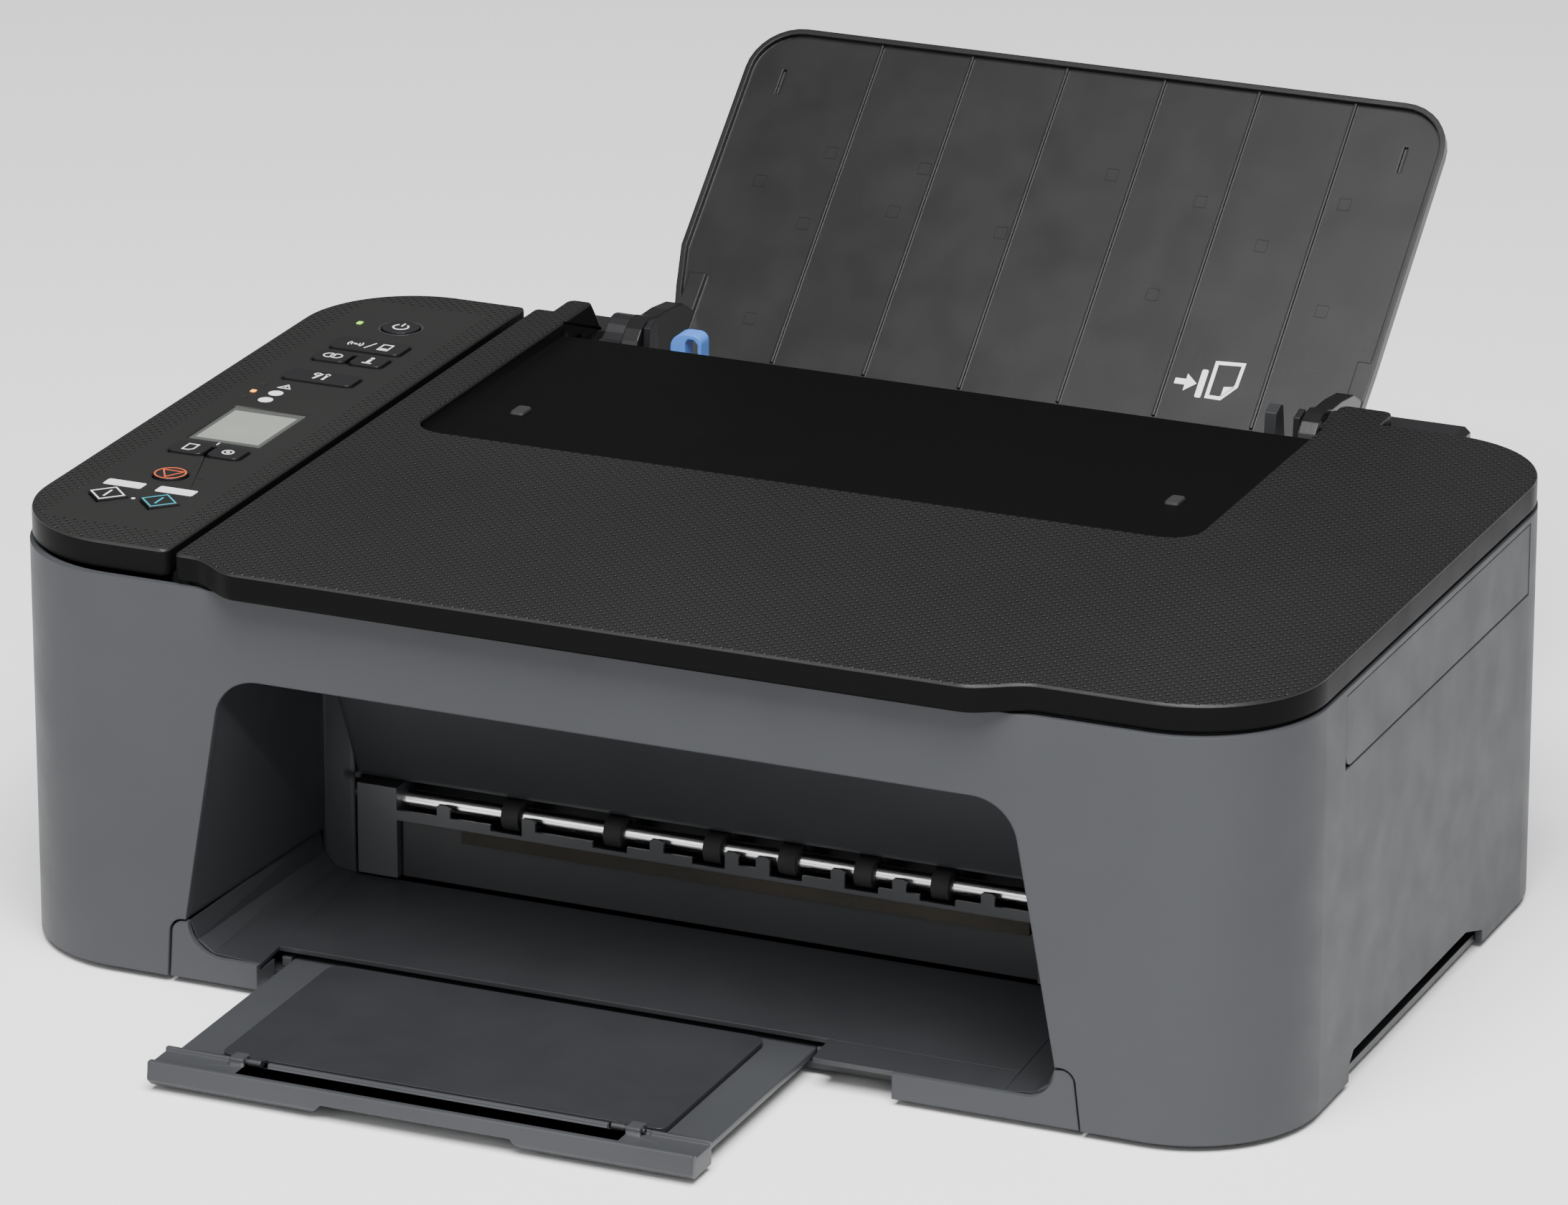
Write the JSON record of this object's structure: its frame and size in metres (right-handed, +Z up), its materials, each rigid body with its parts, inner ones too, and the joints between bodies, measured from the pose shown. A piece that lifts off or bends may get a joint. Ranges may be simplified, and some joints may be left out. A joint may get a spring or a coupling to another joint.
{
  "type": "inkjet printer",
  "caption": "Dark grey and black flatbed inkjet printer with a lifting scanner lid, side control panel, folding rear paper support, pull-out output tray and moving print mechanism",
  "frame": {"origin": "on the ground plane under the rubber feet, at the middle of the width and of the whole depth with the tray out and the paper support open", "axes": "+X to the printer's right as seen from its front, +Y from the front towards the rear, +Z up"},
  "size_m": [0.435, 0.4908, 0.2101],
  "materials": {
    "gloss_black": "polished black plastic",
    "satin_black": "fine dotted black plastic",
    "casing_grey": "fine grained dark grey plastic",
    "dark_grey": "plain moulded dark grey plastic",
    "mid_grey": "plain grey plastic",
    "blue_plastic": "plain blue plastic",
    "white_plastic": "plain white plastic",
    "cream_plastic": "natural gear plastic",
    "teal_plastic": "plain teal plastic",
    "orange_plastic": "plain orange-red plastic",
    "steel": "plain sheet steel",
    "rubber_black": "soft black rubber",
    "foam_grey": "dark foam strip",
    "glass_clear": "clear flat glass",
    "lcd_glass": "grey-green display window",
    "board_green": "green circuit board"
  },
  "bodies": {
    "printer_body": {"base_chassis": "dark_grey", "front_sill": "casing_grey", "rubber_feet": "rubber_black", "outer_casing": "casing_grey", "side_panel": "casing_grey", "output_floor": "dark_grey", "opening_liner": "dark_grey", "exit_comb": "dark_grey", "exit_foam": "foam_grey", "platen": "dark_grey", "guide_rail": "steel", "side_frames": "steel", "rear_feeder": "dark_grey", "main_board": "board_green", "power_supply": "dark_grey", "power_inlet": "dark_grey", "scanner_bed": "dark_grey", "scan_glass": "glass_clear", "panel_housing": "satin_black", "lcd_display": "lcd_glass", "carriage_motor": "steel", "feed_motor": "steel", "timing_belt": "rubber_black", "right_guide": "mid_grey", "casing_screws": "steel"},
    "scanner_lid": {"document_cover": "satin_black", "lid_pad": "white_plastic", "lid_hinges": "dark_grey"},
    "support": {"paper_support": "gloss_black"},
    "paper_guide": {"left_guide": "blue_plastic"},
    "tray": {"output_tray": "casing_grey"},
    "extension": {"tray_extension": "dark_grey"},
    "exit_cover": {"inner_cover": "dark_grey"},
    "print_carriage": {"carriage": "dark_grey", "black_cartridge": "mid_grey", "color_cartridge": "mid_grey"},
    "lever_black": {"black_lever": "mid_grey"},
    "lever_color": {"color_lever": "mid_grey"},
    "belt_drive": {"drive_pulley": "cream_plastic"},
    "belt_idler": {"idler_pulley": "cream_plastic"},
    "feed_shaft": {"feed_roller": "steel", "feed_gear": "cream_plastic"},
    "exit_rollers": {"exit_shaft": "steel", "exit_tyres": "rubber_black", "exit_gear": "cream_plastic"},
    "pinion": {"motor_pinion": "cream_plastic"},
    "idler": {"idler_gear": "cream_plastic"},
    "pickup": {"pickup_roller": "rubber_black"},
    "sensor_bar": {"scanner_carriage": "dark_grey"},
    "caps": {"cap_sled": "dark_grey"},
    "power_key": {"power_button": "satin_black"},
    "wireless_key": {"wireless_button": "satin_black"},
    "direct_key": {"direct_button": "satin_black"},
    "info_key": {"info_button": "satin_black"},
    "tools_key": {"tools_button": "satin_black"},
    "paper_key": {"paper_button": "satin_black"},
    "ok_key": {"ok_button": "satin_black"},
    "stop_key": {"stop_button": "orange_plastic"},
    "black_start_key": {"black_start_button": "white_plastic"},
    "color_start_key": {"color_start_button": "teal_plastic"}
  },
  "joints": [
    {"name": "lid_hinge", "type": "hinge", "parent": "printer_body", "child": "scanner_lid", "pos_m": [0, 0.11163, 0.131], "axis": [-1, 0, 0], "range_deg": [0, 60]},
    {"name": "support_fold", "type": "hinge", "parent": "printer_body", "child": "support", "pos_m": [0.003, 0.12383, 0.1254], "axis": [-1, 0, 0], "range_deg": [-138.5, 0]},
    {"name": "guide_slide", "type": "slide", "parent": "printer_body", "child": "paper_guide", "axis": [1, 0, 0], "range_m": [0, 0.1]},
    {"name": "tray_slide", "type": "slide", "parent": "printer_body", "child": "tray", "axis": [0, 1, 0], "range_m": [0, 0.078]},
    {"name": "extension_flip", "type": "hinge", "parent": "tray", "child": "extension", "pos_m": [-0.03, -0.23237, 0.0099], "axis": [1, 0, 0], "range_deg": [0, 175]},
    {"name": "exit_cover_hinge", "type": "hinge", "parent": "printer_body", "child": "exit_cover", "pos_m": [0.003, -0.08987, 0.0495], "axis": [1, 0, 0], "range_deg": [0, 65]},
    {"name": "power_press", "type": "slide", "parent": "printer_body", "child": "power_key", "axis": [0, 0, 1], "range_m": [-0.0008, 0], "stiffness_N_per_m": 300, "springref_m": 0.0004},
    {"name": "wireless_press", "type": "slide", "parent": "printer_body", "child": "wireless_key", "axis": [0, 0, 1], "range_m": [-0.0008, 0], "stiffness_N_per_m": 300, "springref_m": 0.0004},
    {"name": "direct_press", "type": "slide", "parent": "printer_body", "child": "direct_key", "axis": [0, 0, 1], "range_m": [-0.0008, 0], "stiffness_N_per_m": 300, "springref_m": 0.0004},
    {"name": "info_press", "type": "slide", "parent": "printer_body", "child": "info_key", "axis": [0, 0, 1], "range_m": [-0.0008, 0], "stiffness_N_per_m": 300, "springref_m": 0.0004},
    {"name": "tools_press", "type": "slide", "parent": "printer_body", "child": "tools_key", "axis": [0, 0, 1], "range_m": [-0.0008, 0], "stiffness_N_per_m": 300, "springref_m": 0.0004},
    {"name": "paper_press", "type": "slide", "parent": "printer_body", "child": "paper_key", "axis": [0, 0, 1], "range_m": [-0.0008, 0], "stiffness_N_per_m": 300, "springref_m": 0.0004},
    {"name": "ok_press", "type": "slide", "parent": "printer_body", "child": "ok_key", "axis": [0, 0, 1], "range_m": [-0.0008, 0], "stiffness_N_per_m": 300, "springref_m": 0.0004},
    {"name": "stop_press", "type": "slide", "parent": "printer_body", "child": "stop_key", "axis": [0, 0, 1], "range_m": [-0.0008, 0], "stiffness_N_per_m": 300, "springref_m": 0.0004},
    {"name": "black_start_press", "type": "slide", "parent": "printer_body", "child": "black_start_key", "axis": [0, 0, 1], "range_m": [-0.0008, 0], "stiffness_N_per_m": 300, "springref_m": 0.0004},
    {"name": "color_start_press", "type": "slide", "parent": "printer_body", "child": "color_start_key", "axis": [0, 0, 1], "range_m": [-0.0008, 0], "stiffness_N_per_m": 300, "springref_m": 0.0004},
    {"name": "carriage_slide", "type": "slide", "parent": "printer_body", "child": "print_carriage", "axis": [1, 0, 0], "range_m": [-0.3, 0]},
    {"name": "black_lever_hinge", "type": "hinge", "parent": "print_carriage", "child": "lever_black", "pos_m": [0.131, -0.01137, 0.089], "axis": [-1, 0, 0], "range_deg": [0, 22]},
    {"name": "color_lever_hinge", "type": "hinge", "parent": "print_carriage", "child": "lever_color", "pos_m": [0.169, -0.01137, 0.089], "axis": [-1, 0, 0], "range_deg": [0, 22]},
    {"name": "drive_pulley_spin", "type": "hinge", "parent": "printer_body", "child": "belt_drive", "pos_m": [0.184, 0.00863, 0.086], "axis": [0, 1, 0], "continuous": true},
    {"name": "idler_pulley_spin", "type": "hinge", "parent": "printer_body", "child": "belt_idler", "pos_m": [-0.186, 0.00863, 0.086], "axis": [0, 1, 0], "continuous": true},
    {"name": "feed_spin", "type": "hinge", "parent": "printer_body", "child": "feed_shaft", "pos_m": [0, -0.02337, 0.0418], "axis": [1, 0, 0], "continuous": true},
    {"name": "exit_spin", "type": "hinge", "parent": "printer_body", "child": "exit_rollers", "pos_m": [0, -0.08637, 0.0426], "axis": [1, 0, 0], "continuous": true},
    {"name": "pinion_spin", "type": "hinge", "parent": "printer_body", "child": "pinion", "pos_m": [-0.203, -0.00827, 0.0267], "axis": [1, 0, 0], "continuous": true},
    {"name": "idler_spin", "type": "hinge", "parent": "printer_body", "child": "idler", "pos_m": [-0.203, -0.05487, 0.0422], "axis": [1, 0, 0], "continuous": true},
    {"name": "pickup_spin", "type": "hinge", "parent": "printer_body", "child": "pickup", "pos_m": [0, 0.07783, 0.0869], "axis": [1, 0, 0], "continuous": true},
    {"name": "sensor_slide", "type": "slide", "parent": "printer_body", "child": "sensor_bar", "axis": [1, 0, 0], "range_m": [0, 0.3]},
    {"name": "cap_lift", "type": "slide", "parent": "printer_body", "child": "caps", "axis": [0, 0, 1], "range_m": [-0.004, 0]}
  ],
  "couplings": [
    {"joint": "drive_pulley_spin", "follows": "carriage_slide", "rad_per_m": 160},
    {"joint": "idler_pulley_spin", "follows": "carriage_slide", "rad_per_m": 160},
    {"joint": "exit_spin", "follows": "feed_spin", "ratio": 1},
    {"joint": "idler_spin", "follows": "feed_spin", "ratio": -1.0667},
    {"joint": "pinion_spin", "follows": "feed_spin", "ratio": -2.6667},
    {"joint": "pickup_spin", "follows": "feed_spin", "ratio": -0.35294}
  ]
}
